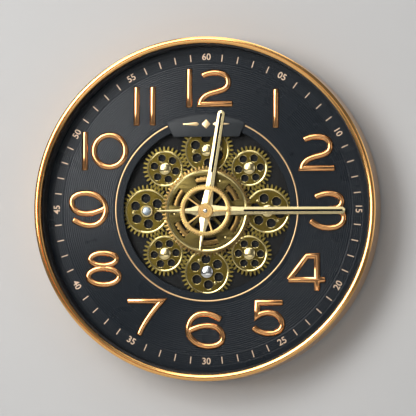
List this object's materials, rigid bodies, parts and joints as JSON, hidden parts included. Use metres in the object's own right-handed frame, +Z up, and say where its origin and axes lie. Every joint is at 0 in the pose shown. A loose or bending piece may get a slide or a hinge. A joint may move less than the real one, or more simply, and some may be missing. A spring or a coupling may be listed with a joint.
{
  "type": "wall clock",
  "caption": "Round wall clock with a raised gold bezel, dark dial, raised numerals, two hands and a ring of turning gears round a pierced wheel in the dial's opening.",
  "frame": {"origin": "centre of the dial, in the plane of the wall that the back lies against", "axes": "+Z up, the dial faces -Y, +X to the right of someone who reads the clock"},
  "size_m": [0.4052, 0.0584, 0.4052],
  "materials": {
    "bezel": "polished gold anodised, rounded in two steps",
    "glass": "clear flat glass",
    "spacer": "satin black",
    "dial": "charcoal lacquer, finely grooved in rings",
    "trim": "brushed rose gold",
    "plaque": "charcoal lacquer",
    "numerals": "bright rose gold with a satin ridge",
    "case": "moulded black, satin",
    "door": "moulded black, satin",
    "gear_plate": "dark grey lacquer",
    "gears": "olive brass, turned face",
    "wheel": "bronze",
    "caps": "polished gold domes",
    "steel": "bright steel",
    "hands": "pale gold, bevelled edges",
    "seconds": "rose gold, finely toothed",
    "movement": "moulded dark grey",
    "cell": "plain printed sleeve, plain metal ends"
  },
  "bodies": {
    "case": {"bezel": "bezel", "glass": "glass", "spacer_ring": "spacer", "dial_plate": "dial", "opening_trim": "trim", "plaque": "plaque", "numeral_1": "numerals", "numeral_2": "numerals", "numeral_3": "numerals", "numeral_4": "numerals", "numeral_5": "numerals", "numeral_6": "numerals", "numeral_7": "numerals", "numeral_8": "numerals", "numeral_9": "numerals", "numeral_10_first": "numerals", "numeral_10_second": "numerals", "numeral_11_first": "numerals", "numeral_11_second": "numerals", "numeral_12_first": "numerals", "numeral_12_second": "numerals", "case_body": "case", "rear_door": "door", "hanger_plate": "steel", "gear_plate": "gear_plate", "centre_bearing": "steel", "stud_top": "caps", "stud_top_right": "caps", "stud_right": "caps", "stud_bottom_right": "caps", "stud_bottom": "steel", "stud_bottom_left": "caps", "stud_top_left": "caps", "gear_motor": "steel", "movement": "movement", "movement_nut": "caps", "movement_cell": "cell", "motor_cell": "cell"},
    "centre_wheel": {"centre_drive_gear": "wheel", "centre_tooth_ring": "wheel", "centre_disc": "gears"},
    "hour": {"hour_tube": "caps", "hour_hand": "hands"},
    "minute": {"minute_tube": "caps", "minute_hand": "hands"},
    "seconds": {"seconds_arbor": "steel", "seconds_wheel": "seconds"},
    "knob": {"setting_knob": "movement"},
    "large_top": {"large_gear_top": "gears"},
    "large_right": {"large_gear_right": "gears"},
    "large_bottom": {"large_gear_bottom": "gears"},
    "large_left": {"large_gear_left": "gears", "drive_shaft": "steel", "drive_collar": "caps"},
    "small_top_right": {"small_gear_top_right": "gears"},
    "small_bottom_right": {"small_gear_bottom_right": "gears"},
    "small_bottom_left": {"small_gear_bottom_left": "gears"},
    "small_top_left": {"small_gear_top_left": "gears"}
  },
  "joints": [
    {"name": "minute_turn", "type": "hinge", "parent": "case", "child": "minute", "pos_m": [0, -0.022, -0.0022], "axis": [0, 1, 0], "continuous": true},
    {"name": "hour_turn", "type": "hinge", "parent": "case", "child": "hour", "pos_m": [0, -0.022, -0.0022], "axis": [0, 1, 0], "continuous": true},
    {"name": "seconds_turn", "type": "hinge", "parent": "case", "child": "seconds", "pos_m": [0, -0.022, -0.0022], "axis": [0, 1, 0], "continuous": true},
    {"name": "knob_turn", "type": "hinge", "parent": "case", "child": "knob", "pos_m": [0, -0.022, 0.0128], "axis": [0, 1, 0], "continuous": true},
    {"name": "centre_wheel_turn", "type": "hinge", "parent": "case", "child": "centre_wheel", "pos_m": [0, -0.022, -0.0022], "axis": [0, 1, 0], "continuous": true},
    {"name": "large_top_turn", "type": "hinge", "parent": "case", "child": "large_top", "pos_m": [0, -0.022, 0.06929], "axis": [0, 1, 0], "continuous": true},
    {"name": "large_right_turn", "type": "hinge", "parent": "case", "child": "large_right", "pos_m": [0.07149, -0.022, -0.0022], "axis": [0, 1, 0], "continuous": true},
    {"name": "large_bottom_turn", "type": "hinge", "parent": "case", "child": "large_bottom", "pos_m": [0, -0.022, -0.07369], "axis": [0, 1, 0], "continuous": true},
    {"name": "large_left_turn", "type": "hinge", "parent": "case", "child": "large_left", "pos_m": [-0.07149, -0.022, -0.0022], "axis": [0, 1, 0], "continuous": true},
    {"name": "small_top_right_turn", "type": "hinge", "parent": "case", "child": "small_top_right", "pos_m": [0.05005, -0.022, 0.04785], "axis": [0, 1, 0], "continuous": true},
    {"name": "small_bottom_right_turn", "type": "hinge", "parent": "case", "child": "small_bottom_right", "pos_m": [0.05005, -0.022, -0.05225], "axis": [0, 1, 0], "continuous": true},
    {"name": "small_bottom_left_turn", "type": "hinge", "parent": "case", "child": "small_bottom_left", "pos_m": [-0.05005, -0.022, -0.05225], "axis": [0, 1, 0], "continuous": true},
    {"name": "small_top_left_turn", "type": "hinge", "parent": "case", "child": "small_top_left", "pos_m": [-0.05005, -0.022, 0.04785], "axis": [0, 1, 0], "continuous": true}
  ],
  "couplings": [
    {"joint": "hour_turn", "follows": "minute_turn", "ratio": 0.083333},
    {"joint": "seconds_turn", "follows": "minute_turn", "ratio": 60},
    {"joint": "knob_turn", "follows": "minute_turn", "ratio": -3},
    {"joint": "large_top_turn", "follows": "centre_wheel_turn", "ratio": -1.4444},
    {"joint": "large_right_turn", "follows": "centre_wheel_turn", "ratio": -1.4444},
    {"joint": "large_bottom_turn", "follows": "centre_wheel_turn", "ratio": -1.4444},
    {"joint": "large_left_turn", "follows": "centre_wheel_turn", "ratio": -1.4444},
    {"joint": "small_top_right_turn", "follows": "centre_wheel_turn", "ratio": 1.7333},
    {"joint": "small_bottom_right_turn", "follows": "centre_wheel_turn", "ratio": 1.7333},
    {"joint": "small_bottom_left_turn", "follows": "centre_wheel_turn", "ratio": 1.7333},
    {"joint": "small_top_left_turn", "follows": "centre_wheel_turn", "ratio": 1.7333}
  ]
}
